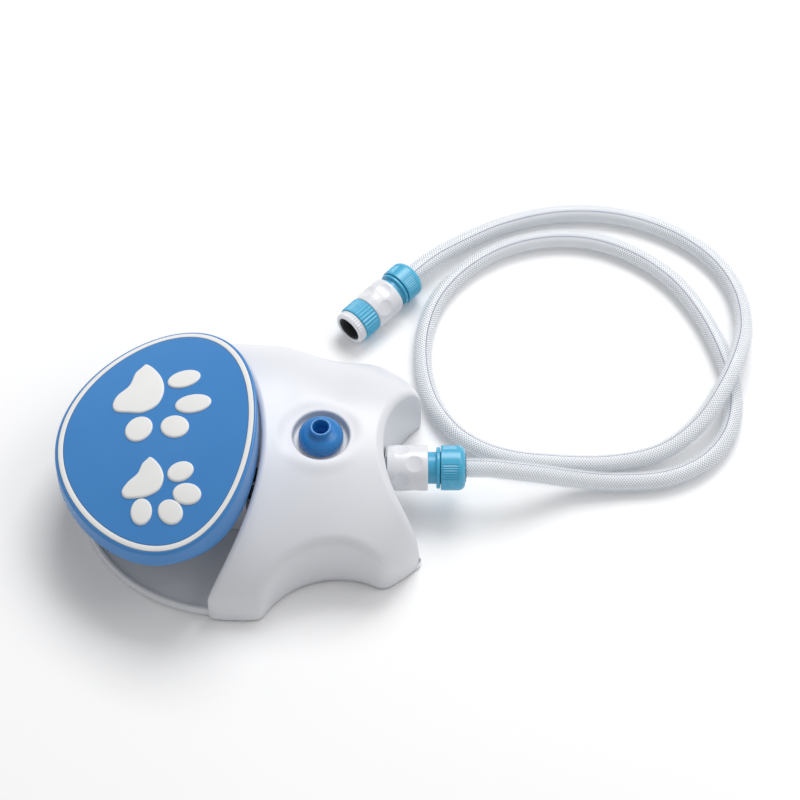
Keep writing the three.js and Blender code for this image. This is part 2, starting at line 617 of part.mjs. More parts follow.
function addTapAdaptor(group, start) {
  const ring0 = start + GAP;
  const ring1 = ring0 + ADAPTOR.length;
  const sleeve = ribbed(ADAPTOR.r, ADAPTOR.ribDepth, ADAPTOR.ribs, ring0, ring1);
  const ring = cut(join(sleeve, rod(8.2, ring0 - 14, ring0 + 1, 24)),
    rod(11.4, ring0 + 3, ring1 + 1), rod(4.5, ring0 - 20, ring0 + 5));
  add(group, 'tap_adaptor_ring', ring, CYAN);
  const lip0 = ring1 + GAP;
  const lip1 = lip0 + ADAPTOR.lip;
  const grip = ribbed(ADAPTOR.lipR, ADAPTOR.ribDepth, ADAPTOR.ribs, lip0, lip1 - 1.2);
  const reducer = cut(join(grip, rod(11, ring0 + 5.6, lip1)),
    rod(ADAPTOR.boreR, ring0 + 7.4, lip1 + 1), rod(6.5, ring0, lip1));
  add(group, 'thread_reducer', reducer, WHITE);
  add(group, 'reducer_washer', tubePiece(9.2, 6.6, ring0 + 7.8, ring0 + 9.8), RUBBER);
}

function addHoseEnds() {
  const fountainEnd = new THREE.Group();
  fountainEnd.position.set(FOUNTAIN_NUT_X, 0, INLET.z);
  fountainEnd.rotation.y = -Math.PI / 2;
  fountain.add(fountainEnd);
  addConnector(fountainEnd, 'fountain_end', CONNECTOR_A);

  const tapEnd = new THREE.Group();
  tapEnd.position.set(TAP_END.x, TAP_END.y, TAP_END.z);
  tapEnd.rotation.order = 'ZYX';
  tapEnd.rotation.set(0, Math.PI / 2, THREE.MathUtils.degToRad(TAP_END.heading));
  fountain.add(tapEnd);
  const mouth = addConnector(tapEnd, 'tap_end', CONNECTOR_B);
  addTapAdaptor(tapEnd, mouth);
}

// The hose.
// Its centreline, from the fountain's connector round two loose turns to the tap's.
const HOSE_ROUTE = [
  [170.2, 0, 38], [188, 0, 37.4], [206, 0.4, 33.4], [226, 2.5, 26], [252, 5, 15.4], [287, 6, 8.8],
  [327, 10.8, 7.8], [356, 26.5, 7.8], [374, 52, 7.8], [380, 86, 7.8], [374, 123, 7.8],
  [358.5, 165, 7.8], [337.5, 198, 7.8], [308.5, 222.5, 7.8], [275.5, 236.5, 7.8], [240, 238.5, 7.8],
  [204.5, 229, 7.8], [173.5, 208, 7.8], [151, 179, 7.8], [140, 145, 7.8], [139.5, 107, 7.8],
  [149.5, 72.5, 7.8], [169, 46.5, 7.8], [198, 30.5, 7.8], [241, 24, 7.8], [286, 24, 8.2],
  [321, 32, 11.2], [349, 52, 16.8], [370, 82, 23.3], [384.5, 116, 22.6], [391.5, 151, 13],
  [388, 186, 8.4], [372, 217, 7.8], [341, 244, 7.8], [298, 261.5, 7.8], [250, 264, 7.8],
  [203, 252, 7.8], [163, 228.5, 10.2], [145, 212.9, 14], [129.15, 196.57, 15.4],
];

addHousing();
addPedal();
addHinge();
addValve();
addWaterPath();
addHoseEnds();
add(fountain, 'garden_hose', hoseAlong(HOSE_ROUTE, HOSE_R, 8, 56), HOSE_CLEAR);

export default fountain;
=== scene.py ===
import math
import bpy
import numpy as np
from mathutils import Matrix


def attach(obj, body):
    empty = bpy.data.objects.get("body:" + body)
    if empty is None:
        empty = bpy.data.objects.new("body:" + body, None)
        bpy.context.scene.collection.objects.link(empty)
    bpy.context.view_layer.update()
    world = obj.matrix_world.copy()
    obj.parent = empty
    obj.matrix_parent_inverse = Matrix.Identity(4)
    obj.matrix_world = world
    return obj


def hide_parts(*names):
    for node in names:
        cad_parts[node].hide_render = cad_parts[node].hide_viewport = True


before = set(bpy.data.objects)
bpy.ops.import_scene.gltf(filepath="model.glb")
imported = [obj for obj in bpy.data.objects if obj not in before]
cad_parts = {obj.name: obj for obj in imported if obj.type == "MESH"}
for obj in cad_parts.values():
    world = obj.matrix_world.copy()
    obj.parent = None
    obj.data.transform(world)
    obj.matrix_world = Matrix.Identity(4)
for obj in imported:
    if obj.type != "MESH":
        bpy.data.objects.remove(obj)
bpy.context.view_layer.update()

mm = 0.001
scene = bpy.context.scene
scene.view_settings.view_transform = "Standard"

# the camera stands in front of the fountain and looks down on it; millimetres and degrees
cameraSetup = {"target": (120.5, 87.43, 0), "elevation": 56, "distance": 2429.3, "lens": 140, "sensor": 36}


def placeCamera(setup):
    # back by distance * cos(elevation) and up by distance * sin(elevation) from the target
    data = bpy.data.cameras.new("camera")
    data.lens, data.sensor_width = setup["lens"], setup["sensor"]
    data.clip_start, data.clip_end = 0.1, 50
    lean = math.radians(setup["elevation"])
    x, y, z = setup["target"]
    camera = bpy.data.objects.new("camera", data)
    camera.location = (x * mm, (y - setup["distance"] * math.cos(lean)) * mm,
                       (z + setup["distance"] * math.sin(lean)) * mm)
    camera.rotation_euler = (math.pi / 2 - lean, 0, 0)
    scene.collection.objects.link(camera)
    scene.camera = camera


placeCamera(cameraSetup)


# mesh tools: every shape is a grid of points, rows by columns, in millimetres
def gridFaces(rows, columns, closedRows, closedColumns):
    # quads between neighbouring rows and columns, the last joined to the first where closed
    i = np.arange(rows if closedRows else rows - 1)[:, None]
    j = np.arange(columns if closedColumns else columns - 1)[None, :]
    nextI, nextJ = (i + 1) % rows, (j + 1) % columns
    corners = [i * columns + j, i * columns + nextJ, nextI * columns + nextJ, nextI * columns + j]
    return np.stack(corners, -1).reshape(-1, 4)


def loopGrid(points):
    # closed both ways, like a ring
    return points, True, True, (False, False)


def cappedGrid(points):
    # closed round its columns, with a fan of triangles over its first and last rows
    return points, False, True, (True, True)


def openGrid(points):
    return points, False, False, (False, False)


def makePiece(name, grids, material, stands=None, body="root", crease=40, uv=None):
    # joins the grids into one object that rides on a body and takes the place of a node; a grid is
    # turned over when its volume, the sum of a . (b x c) over its triangles, is negative
    points, quads, fans, start = [], [], [], 0
    for grid, closedRows, closedColumns, caps in grids:
        rows, columns = grid.shape[:2]
        own = [grid.reshape(-1, 3)]
        ownQuads = gridFaces(rows, columns, closedRows, closedColumns)
        ownFans = np.empty((0, 3), int)
        for row, way, capped in zip((0, rows - 1), (-1, 1), caps):
            if capped:
                ring = row * columns + np.arange(columns)
                pole = np.full(columns, rows * columns + len(own) - 1)
                ownFans = np.vstack([ownFans, np.stack([ring, np.roll(ring, -1), pole], 1)[:, ::way]])
                own.append(own[0][ring].mean(0)[None])
        own = np.vstack(own)
        a, b, c = own[np.vstack([ownQuads[:, :3], ownQuads[:, [0, 2, 3]], ownFans]).T]
        if (a * np.cross(b, c)).sum() < 0:
            ownQuads, ownFans = ownQuads[:, ::-1], ownFans[:, ::-1]
        points.append(own)
        quads.append(ownQuads + start)
        fans.append(ownFans + start)
        start += len(own)
    mesh = bpy.data.meshes.new(name)
    faces = np.vstack(quads).tolist() + np.vstack(fans).tolist()
    mesh.from_pydata((np.vstack(points) * mm).tolist(), [], faces)
    if uv is not None:
        layer = mesh.uv_layers.new(name="along")
        loopVertex = np.empty(len(mesh.loops), dtype=np.int32)
        mesh.loops.foreach_get("vertex_index", loopVertex)
        layer.data.foreach_set("uv", uv[loopVertex].astype(np.float32).ravel())
    mesh.update()
    mesh.shade_smooth()
    mesh.set_sharp_from_angle(angle=math.radians(crease))
    mesh.materials.append(material)
    piece = bpy.data.objects.new(name, mesh)
    scene.collection.objects.link(piece)
    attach(piece, body)
    if stands:
        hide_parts(stands)
    return piece


def smoothStep(t):
    # 3 t^2 - 2 t^3, held at 0 and 1 outside
    t = np.clip(t, 0, 1)
    return t * t * (3 - 2 * t)


def smoothPath(points, spans):
    # a centripetal Catmull-Rom curve through the points: each span's tangents weigh the
    # neighbouring spans by the square root of their lengths
    p = np.array(points, float)
    p = np.vstack([2 * p[0] - p[1], p, 2 * p[-1] - p[-2]])
    gap = np.sqrt(np.linalg.norm(np.diff(p, axis=0), axis=1))[:, None]
    a, b, c = gap[:-2], gap[1:-1], gap[2:]
    p0, p1, p2, p3 = p[:-3], p[1:-2], p[2:-1], p[3:]
    m1 = ((p1 - p0) / a - (p2 - p0) / (a + b) + (p2 - p1) / b) * b
    m2 = ((p2 - p1) / b - (p3 - p1) / (b + c) + (p3 - p2) / c) * b
    t = np.linspace(0, 1, spans, endpoint=False)[None, :, None]
    p1, p2, m1, m2 = (v[:, None] for v in (p1, p2, m1, m2))
    curve = p1 + m1 * t + (3 * (p2 - p1) - 2 * m1 - m2) * t ** 2 + (2 * (p1 - p2) + m1 + m2) * t ** 3
    return np.vstack([curve.reshape(-1, 3), p[-2]])


def evenly(line, count, closed=False):
    # the same line with its points at equal distances along it
    if closed:
        line = np.vstack([line, line[:1]])
    run = np.r_[0, np.cumsum(np.linalg.norm(np.diff(line, axis=0), axis=1))]
    at = np.linspace(0, run[-1], count, endpoint=not closed)
    return np.stack([np.interp(at, run, line[:, k]) for k in range(line.shape[1])], 1)


# materials
def linear(code):
    # sRGB hex to linear RGBA: each channel is straightened by the sRGB curve
    s = np.array([int(code[k:k + 2], 16) / 255 for k in (1, 3, 5)])
    return (*np.where(s <= 0.04045, s / 12.92, ((s + 0.055) / 1.055) ** 2.4), 1.0)


def addNode(tree, kind, settings=None, inputs=None):
    made = tree.nodes.new(kind)
    for key, value in (settings or {}).items():
        setattr(made, key, value)
    for key, value in (inputs or {}).items():
        if isinstance(value, bpy.types.NodeSocket):
            tree.links.new(value, made.inputs[key])
        else:
            made.inputs[key].default_value = value
    return made


def newMaterial(name, principled):
    material = bpy.data.materials.new(name)
    material.use_nodes = True
    tree = material.node_tree
    tree.nodes.clear()
    shader = addNode(tree, "ShaderNodeBsdfPrincipled", None, principled)
    addNode(tree, "ShaderNodeOutputMaterial", None, {"Surface": shader.outputs[0]})
    where = addNode(tree, "ShaderNodeTexCoord")
    return material, tree, shader, where


plasticIor = 1.53
glossSpread = 0.04    # how far the roughness wanders either way


def mouldedPlastic(name, pale, deep, roughness, grain, patch=60, depth=0.02):
    # injection-moulded plastic: an even satin colour with faint flow patches, a roughness that
    # wanders a little, and the fine grain of the mould in the bump; patch, grain and depth are in mm
    material, tree, shader, where = newMaterial(name, {"IOR": plasticIor})
    flow = addNode(tree, "ShaderNodeTexNoise", None,
                   {"Vector": where.outputs["Object"], "Scale": 1000 / patch, "Detail": 2.0})
    fine = addNode(tree, "ShaderNodeTexNoise", None,
                   {"Vector": where.outputs["Object"], "Scale": 1000 / grain, "Detail": 3.0})
    mix = addNode(tree, "ShaderNodeMix", {"data_type": "RGBA"}, {0: flow.outputs["Fac"]})
    mix.inputs[6].default_value, mix.inputs[7].default_value = linear(deep), linear(pale)
    tree.links.new(mix.outputs[2], shader.inputs["Base Color"])
    gloss = addNode(tree, "ShaderNodeMapRange", None, {
        "Value": flow.outputs["Fac"], "From Min": 0.3, "From Max": 0.7,
        "To Min": roughness - glossSpread, "To Max": roughness + glossSpread})
    tree.links.new(gloss.outputs[0], shader.inputs["Roughness"])
    bump = addNode(tree, "ShaderNodeBump", None,
                   {"Height": fine.outputs["Fac"], "Strength": 0.25, "Distance": depth * mm})
    tree.links.new(bump.outputs[0], shader.inputs["Normal"])
    return material


def brushedMetal(name, colour, roughness, grain):
    # drawn stainless steel: fine streaks along the wire change the roughness and the bump
    material, tree, shader, where = newMaterial(name, {"Metallic": 1.0, "Base Color": linear(colour)})
    stretch = addNode(tree, "ShaderNodeMapping", None,
                      {"Vector": where.outputs["Object"], "Scale": (1, 1, 0.15)})
    streak = addNode(tree, "ShaderNodeTexNoise", None,
                     {"Vector": stretch.outputs[0], "Scale": 1000 / grain, "Detail": 4.0})
    gloss = addNode(tree, "ShaderNodeMapRange", None,
                    {"Value": streak.outputs["Fac"], "To Min": roughness - 0.1, "To Max": roughness + 0.12})
    tree.links.new(gloss.outputs[0], shader.inputs["Roughness"])
    bump = addNode(tree, "ShaderNodeBump", None,
                   {"Height": streak.outputs["Fac"], "Strength": 0.2, "Distance": 0.00002})
    tree.links.new(bump.outputs[0], shader.inputs["Normal"])
    return material


whiteAbs = mouldedPlastic("mouldedWhiteAbs", "#DFE0E5", "#D8DADF", 0.36, 0.7)
trayAbs = mouldedPlastic("mouldedTrayAbs", "#E2E4E8", "#D8DADF", 0.42, 0.7)
collarAbs = mouldedPlastic("mouldedCollarAbs", "#E4E5E9", "#DADCE1", 0.3, 0.6)
pedalAbs = mouldedPlastic("mouldedBlueAbs", "#3E86C8", "#367EC2", 0.34, 0.8)
nozzleAbs = mouldedPlastic("mouldedSpoutAbs", "#2A7FC4", "#2275BB", 0.26, 0.6, patch=20)
cyanAbs = mouldedPlastic("mouldedCyanAbs", "#4DB2D6", "#43A6CD", 0.28, 0.5, patch=20)
softWhite = mouldedPlastic("softTouchRubberInlay", "#EDEDEC", "#E6E6E5", 0.6, 0.5, patch=25, depth=0.04)
greyNylon = mouldedPlastic("mouldedGreyNylon", "#8F959C", "#848A92", 0.5, 0.5)
# real black rubber for the feet and seals, and also the painted shade of the tap adaptor's bore
blackRubberAndBoreShade = mouldedPlastic("mouldedBlackRubberAndBoreShade", "#2E3033", "#242629", 0.72, 0.4, depth=0.05)
deepCyan = mouldedPlastic("mouldedGripperAbs", "#1F5F80", "#194F6C", 0.45, 0.5, patch=15)
steelWire = brushedMetal("drawnStainlessSteel", "#B8BCC0", 0.32, 0.4)

# the CAD nodes that stay as they are take these finishes
plainNodes = {
    greyNylon: ["pedal_frame", "pivot_bush_rear", "pivot_bush_front", "valve_body", "valve_cap",
                "inlet_nut", "nozzle_nut"],
    blackRubberAndBoreShade: ["rubber_foot_rear_right", "rubber_foot_front_right", "rubber_foot_rear_left",
                  "rubber_foot_front_left", "valve_seat_seal", "stem_seal", "inlet_o_ring", "nozzle_gasket",
                  "inlet_tube", "outlet_tube", "reducer_washer"],
    steelWire: ["base_screw_rear_right", "base_screw_front_right", "base_screw_rear_left",
                "base_screw_front_left", "hinge_pin", "hinge_pin_clip", "hose_clip_inlet_port",
                "hose_clip_outlet_port", "frame_screw_rear", "frame_screw_front", "return_spring"],
    whiteAbs: ["pivot_post_rear", "pivot_post_front", "inlet_nipple", "valve_plunger"],
}
for material, names in plainNodes.items():
    for name in names:
        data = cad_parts[name].data
        data.materials.clear()
        data.materials.append(material)
print("materials ready")

# the hose: clear PVC over a braid of polyester thread, in two loose turns on the ground
hose = {
    "diameter": 15.5, "braid": 13.2, "sides": 40, "step": 4.0, "spans": 24,
    "threads": 14, "pitch": 30.0,     # threads each way round, and the length of one thread's turn
    "stripes": [(0.31, 0.012, "#6B5A8C"), (0.93, 0.022, "#5B93BE")],    # place and half width, in turns
    "route": [
        (170.2, 0, 38), (188, 0, 37.4), (206, 0.4, 33.4), (226, 2.5, 26), (252, 5, 15.4), (287, 6, 8.8),
        (327, 10.8, 7.8), (356, 26.5, 7.8), (374, 52, 7.8), (380, 86, 7.8), (374, 123, 7.8),
        (358.5, 165, 7.8),
        (337.5, 198, 7.8), (308.5, 222.5, 7.8), (275.5, 236.5, 7.8), (240, 238.5, 7.8), (204.5, 229, 7.8),
        (173.5, 208, 7.8), (151, 179, 7.8), (140, 145, 7.8), (139.5, 107, 7.8), (149.5, 72.5, 7.8),
        (169, 46.5, 7.8), (198, 30.5, 7.8), (241, 24, 7.8), (286, 24, 8.2), (321, 32, 11.2), (349, 52, 16.8),
        (370, 82, 23.3), (384.5, 116, 22.6), (391.5, 151, 13), (388, 186, 8.4), (372, 217, 7.8),
        (341, 244, 7.8),
        (298, 261.5, 7.8), (250, 264, 7.8), (203, 252, 7.8), (163, 228.5, 10.2), (145, 212.9, 14),
        (129.15, 196.57, 15.4)],
}


def clearPvc():
    # extruded clear PVC: mostly seen through, with a milky body and a glossy skin that catches
    # the softboxes as a long highlight
    material, tree, shader, where = newMaterial("extrudedClearPvc", {
        "Base Color": linear("#F4F8FD"), "Roughness": 0.14, "IOR": plasticIor, "Alpha": 0.26})
    wave = addNode(tree, "ShaderNodeTexNoise", None, {"Vector": where.outputs["Object"], "Scale": 90.0})
    bump = addNode(tree, "ShaderNodeBump", None,
                   {"Height": wave.outputs["Fac"], "Strength": 0.1, "Distance": 0.0002})
    tree.links.new(bump.outputs[0], shader.inputs["Normal"])
    return material


def mathNode(tree, operation, first, second=0.0):
    return addNode(tree, "ShaderNodeMath", {"operation": operation}, {0: first, 1: second}).outputs[0]


def braidedThread(size):
    # polyester thread wound both ways round the inner tube: two families of slanted lines on
    # the UV map, white and dense where a thread lies, pale blue-grey and half clear between,
    # with two coloured stripes; a thread lies where sin(round +- along) is high
    material, tree, shader, where = newMaterial("woundPolyesterBraid", {"Roughness": 0.5, "IOR": 1.45})
    split = addNode(tree, "ShaderNodeSeparateXYZ", None, {"Vector": where.outputs["UV"]})
    wind = 2 * math.pi * size["threads"]
    around = mathNode(tree, "MULTIPLY", split.outputs[0], wind)
    along = mathNode(tree, "MULTIPLY", split.outputs[1], wind / (size["pitch"] * mm))
    waves = [mathNode(tree, "SINE", mathNode(tree, way, around, along)) for way in ("ADD", "SUBTRACT")]
    both = mathNode(tree, "MAXIMUM", *waves)
    thread = addNode(tree, "ShaderNodeMapRange", None, {"Value": both, "From Min": 0.1, "From Max": 0.75})
    mix = addNode(tree, "ShaderNodeMix", {"data_type": "RGBA"}, {0: thread.outputs[0]})
    mix.inputs[6].default_value, mix.inputs[7].default_value = linear("#CBD9E8"), linear("#FFFFFF")
    colour = mix.outputs[2]
    for centre, width, code in size["stripes"]:
        offset = mathNode(tree, "ABSOLUTE", mathNode(tree, "SUBTRACT", split.outputs[0], centre))
        inside = mathNode(tree, "LESS_THAN", offset, width)
        stripe = addNode(tree, "ShaderNodeMix", {"data_type": "RGBA"}, {0: inside, 6: colour})
        stripe.inputs[7].default_value = linear(code)
        colour = stripe.outputs[2]
    tree.links.new(colour, shader.inputs["Base Color"])
    cover = addNode(tree, "ShaderNodeMapRange", None,
                    {"Value": thread.outputs[0], "To Min": 0.4, "To Max": 0.85})
    tree.links.new(cover.outputs[0], shader.inputs["Alpha"])
    bump = addNode(tree, "ShaderNodeBump", None,
                   {"Height": thread.outputs[0], "Strength": 0.6, "Distance": 0.0004})
    tree.links.new(bump.outputs[0], shader.inputs["Normal"])
    return material


def tubeAlong(path, radius, sides):
    # rings square to the path: centre + radius * (cos a * side + sin a * up)
    ahead = np.gradient(path, axis=0)
    ahead /= np.linalg.norm(ahead, axis=1)[:, None]
    side = np.cross(ahead, [0, 0, 1.0])
    side /= np.linalg.norm(side, axis=1)[:, None]
    up = np.cross(side, ahead)
    a = np.linspace(0, 2 * np.pi, sides, endpoint=False)[None, :, None]
    return path[:, None] + radius * (np.cos(a) * side[:, None] + np.sin(a) * up[:, None])


def makeHose(size):
    # a skin and the braid inside it, both along one curve
    line = smoothPath(size["route"], size["spans"])
    length = np.linalg.norm(np.diff(line, axis=0), axis=1).sum()
    path = evenly(line, int(length / size["step"]))
    count, sides = len(path), size["sides"]
    # the braid's first column is doubled, so its UV map runs from 0 to 1 without a jump back
    runs = np.linspace(0, length * mm, count)
    uv = np.stack(np.meshgrid(np.arange(sides + 1) / sides, runs), -1).reshape(-1, 2)
    outer = tubeAlong(path, size["diameter"] / 2, sides)
    skin = makePiece("hoseSkin", [cappedGrid(outer)], clearPvc(), "garden_hose", crease=60)
    braid = tubeAlong(path, size["braid"] / 2, sides)
    braid = np.concatenate([braid, braid[:, :1]], 1)
    sleeve = makePiece("hoseBraid", [openGrid(braid)], braidedThread(size), crease=60, uv=uv)
    return skin, sleeve, line, length


hoseSkin, hoseBraid, hoseLine, hoseLength = makeHose(hose)
print("hose:", round(hoseLength), "mm")

# the housing: a smooth arched hill, cut by round coves, with a pocket for the spout; a cove or
# the pedal's edge is its middle, its radius, and half its opening
housing = {
    "height": 79, "shoulder": 5, "taper": 0.0011, "ridgeY": 12, "edgeY": 114, "roundX": 60.5,
    "rearLength": 93.5, "rearPower": 2.6, "frontLength": 87, "frontPower": 2.2, "rearBulge": 0.9,
    "pedalEdge": (-148, 0, 165, 108), "frontCove": (74.5, -142, 65), "rearCove": (74.5, 155, 65),
    "rightCove": (188, 0, 80, 61), "bottom": 1.6, "wall": 2.4,
    "edgeFillet": 5.0, "coveFillet": 6.5, "cornerRound": 3.0, "spacing": 0.9, "columns": 560,
    "spout": (61.5, 4), "pocketR": 21.3, "pocketFloor": 70.5, "rimZ": 77.2, "rimRound": 1.6,
    "floorRound": 2, "landing": 12, "holeR": 12.3, "wallRows": 9, "footIn": 0.6,
}


def bodyOutline(size):
    # the plan: straight corners between arcs, sampled evenly, with its corners rounded by a
    # Gaussian average along the line; also the fillet radius at each point
    def arc(centre, start, end, count=60):
        cx, cy, r = centre[:3]
        a = np.linspace(start, end, count)
        return np.stack([cx + r * np.cos(a), cy + r * np.sin(a)], 1)

    def angleAt(centre, x, y):
        return math.atan2(y - centre[1], x - centre[0])

    edge, front, rear, right = size["pedalEdge"], size["frontCove"], size["rearCove"], size["rightCove"]
    reach = math.asin(edge[3] / edge[2])
    gape = math.asin(right[3] / right[2])
    parts = [
        np.array([(-19, -110.8), (-8, -111.8), (8, -112), (13.5, -111.6)], float),
        arc(front, angleAt(front, 16.8, -110), angleAt(front, 103, -83.5)),
        np.array([(106, -85), (113, -83.5), (122.5, -76.5), (134, -66.5), (137, -63.5)], float),
        arc(right, math.pi + gape, math.pi - gape),
        np.array([(137.2, 64), (135.5, 72), (130, 81), (121, 91), (112, 99), (109, 99.8)], float),
        arc(rear, angleAt(rear, 107, 99), angleAt(rear, 25.8, 112)),
        np.array([(13.5, 111.6), (8, 112), (-8, 111.8), (-19, 110.8)], float),
        arc(edge, reach, -reach, 90),
    ]
    line = np.vstack(parts)
    # a third column tells the pedal's edge from the rest, too small to change any length
    tiny = 0.001
    onEdge = np.r_[np.zeros(len(line) - len(parts[-1])), np.ones(len(parts[-1]))]
    line = evenly(np.column_stack([line, onEdge * tiny]), size["columns"] * 2, closed=True)
    step, blur = size["spacing"], size["cornerRound"]
    reachOut = int(4 * blur / step)
    kernel = np.exp(-0.5 * (np.arange(-reachOut, reachOut + 1) * step / blur) ** 2)
    kernel /= kernel.sum()
    wrapped = np.vstack([line[-reachOut:], line, line[:reachOut]])
    smooth = np.stack([np.convolve(wrapped[:, k], kernel, "valid") for k in range(3)], 1)
    share = np.clip(smooth[:, 2] / tiny, 0, 1)
    return smooth[:, :2], size["coveFillet"] + (size["edgeFillet"] - size["coveFillet"]) * share


def hillTop(size, x, y):
    # the height over (x, y): z = H(x) * (1 - |(y - ridge) / W(x)|^n)^(1/n), with a gentle rise
    # towards the pedal and a squarer rear shoulder there
    riseFrom, bulgeFrom, fade = -10, 30, 50
    rise = size["shoulder"] * (1 - smoothStep((x - riseFrom) / fade))
    height = size["height"] + rise - size["taper"] * np.maximum(0, x - size["roundX"]) ** 2
    rear = y > size["ridgeY"]
    past = np.maximum(0, x - size["roundX"])
    rearFall = 1 - (past / size["rearLength"]) ** size["rearPower"]
    frontFall = 1 - (past / size["frontLength"]) ** size["frontPower"]
    rearFoot = size["edgeY"] * np.sqrt(np.clip(rearFall, 1e-4, 1))
    frontFoot = size["edgeY"] * np.sqrt(np.clip(frontFall, 1e-4, 1))
    width = np.where(rear, rearFoot - size["ridgeY"], frontFoot + size["ridgeY"])
    power = np.where(rear, 2 + size["rearBulge"] * (1 - smoothStep((x - bulgeFrom) / fade)), 2.0)
    out = np.clip(np.abs(y - size["ridgeY"]) / width, 0, 1)
    return height * np.maximum(0, 1 - out ** power) ** (1 / power)


def outlineNormals(line, spread):
    # the inward normals of a closed line, averaged along it over the given distance
    ahead = np.roll(line, -1, 0) - np.roll(line, 1, 0)
    step = np.linalg.norm(ahead, axis=1).mean() / 2
    ahead /= np.linalg.norm(ahead, axis=1)[:, None]
    inward = np.stack([-ahead[:, 1], ahead[:, 0]], 1)
    half = int(3 * spread / step)
    kernel = np.exp(-0.5 * (np.arange(-half, half + 1) * step / spread) ** 2)
    wrapped = np.vstack([inward[-half:], inward, inward[:half]])
    return np.stack([np.convolve(wrapped[:, k], kernel / kernel.sum(), "valid") for k in range(2)], 1)


def nearest(points, line, values):
    # the distance from each point to the closed line, and the line's value there
    best = np.full(len(points), 1e9)
    held = np.zeros(len(points))
    after = np.roll(line, -1, axis=0)
    side = after - line
    span = (side ** 2).sum(1)
    batch = 2000    # so many points at a time, to save memory
    for part in np.array_split(np.arange(len(points)), max(1, len(points) // batch)):
        offset = points[part, None] - line[None]
        share = np.clip((offset * side).sum(-1) / span, 0, 1)
        gap = np.linalg.norm(offset - share[..., None] * side, axis=-1)
        k = gap.argmin(1)
        best[part], held[part] = gap[np.arange(len(part)), k], values[k]
    return best, held


def makeHousing(size):
    # the top is the hill less a fillet: r - sqrt(r^2 - (r - d)^2), d being the distance to the outline
    dense, filletDense = bodyOutline(size)
    outline, fillet = dense[::2], filletDense[::2]
    sx, sy = size["spout"]
    # the pocket's rim is shared out evenly by length along the outline, and gently bent lines
    # run from it to the outline, closest together at both ends
    count = len(outline)
    inwards = outlineNormals(outline, 2.0)
    bend = outline + inwards * 2.0
    start = np.unwrap(np.arctan2(outline[:, 1] - sy, outline[:, 0] - sx))
    even = np.arange(count) / count * 2 * np.pi
    spread = even + (start - even).mean()
    aim = np.stack([np.cos(spread), np.sin(spread)], 1)
    main = 0.86    # the share of each line before the close rows of the edge fillet
    t = np.concatenate([np.linspace(0, 1, 34) ** 1.3 * main,
                        1 - (1 - main) * np.linspace(1, 0, 30)[1:] ** 1.7])
    rimR = size["pocketR"] + size["rimRound"]
    rimLine = np.array([sx, sy]) + rimR * aim
    share = t[:, None, None]
    xy = (1 - share) ** 2 * rimLine + 2 * share * (1 - share) * bend + share ** 2 * outline
    radius = np.hypot(xy[..., 0] - sx, xy[..., 1] - sy)
    flat = xy.reshape(-1, 2)
    gap, roundness = nearest(flat, dense, filletDense)
    gap = gap.reshape(len(t), -1)
    gap[-1] = 0
    roundness = roundness.reshape(len(t), -1)
    roundness[-1] = fillet
    top = hillTop(size, xy[..., 0], xy[..., 1])
    near = smoothStep((radius - rimR) / size["landing"])
    top = size["rimZ"] + (top - size["rimZ"]) * near
    soft = np.minimum(roundness, 0.55 * top)
    within = np.clip(soft - gap, 0, None)
    z = top - (soft - np.sqrt(np.maximum(0, soft ** 2 - within ** 2)))
    z = np.maximum(z, size["bottom"] + 1)
    surface = np.concatenate([xy, z[..., None]], -1)
    # the wall: straight down from the fillet's foot, turned in a little at the ground
    down = np.linspace(0, 1, size["wallRows"] + 1)[1:, None]
    fall = z[-1] + (size["bottom"] + size["footIn"] - z[-1]) * down
    wall = np.concatenate([np.broadcast_to(outline, (size["wallRows"], count, 2)), fall[..., None]], -1)
    foot = np.column_stack([outline + inwards * size["footIn"], np.full(count, size["bottom"])])[None]
    # the pocket: a rounded rim, a wall, a rounded floor, and the spout's hole
    a = np.linspace(0, np.pi / 2, 7)[1:]
    r, low, floor = size["rimRound"], size["floorRound"], size["pocketFloor"]
    rim = [(rimR - r * np.sin(k), size["rimZ"] - r * (1 - np.cos(k))) for k in a]
    corner = [(size["pocketR"] - low * (1 - np.cos(k)), floor + low - low * np.sin(k)) for k in a]
    cup = np.array(rim + [(size["pocketR"], floor + 3)] + corner + [(size["holeR"], floor)])
    pocket = np.stack([sx + cup[:, :1] * aim[:, 0], sy + cup[:, :1] * aim[:, 1],
                       np.broadcast_to(cup[:, 1:], (len(cup), count))], -1)
    grid = np.concatenate([pocket[::-1], surface, wall, foot])
    # the inner skin is the same grid pushed in by the wall's thickness along its normals, and
    # a row of the top tells which way they point
    across, along = np.gradient(grid, axis=0), np.roll(grid, -1, 1) - np.roll(grid, 1, 1)
    normal = np.cross(across, along)
    normal /= np.maximum(1e-9, np.linalg.norm(normal, axis=2))[..., None]
    if normal[len(pocket) + 5, :, 2].mean() < 0:
        normal = -normal
    inner = grid - normal * size["wall"]
    inner[..., 2] = np.maximum(inner[..., 2], size["bottom"])
    closed = np.concatenate([grid, inner[::-1]])
    makePiece("housingShell", [loopGrid(closed)], whiteAbs, "top_shell", crease=50)


makeHousing(housing)
print("housing made")

# the tray that the housing and the pedal stand on
tray = {"x": -7.5, "halfLength": 115, "halfWidth": 108, "cutX": 10, "bottom": 1.2, "floor": 4.2,
        "rimTop": 8.6, "rimWall": 3.4, "round": 1.3, "plateIn": 3.4, "floorReach": 104, "under": 2.0}


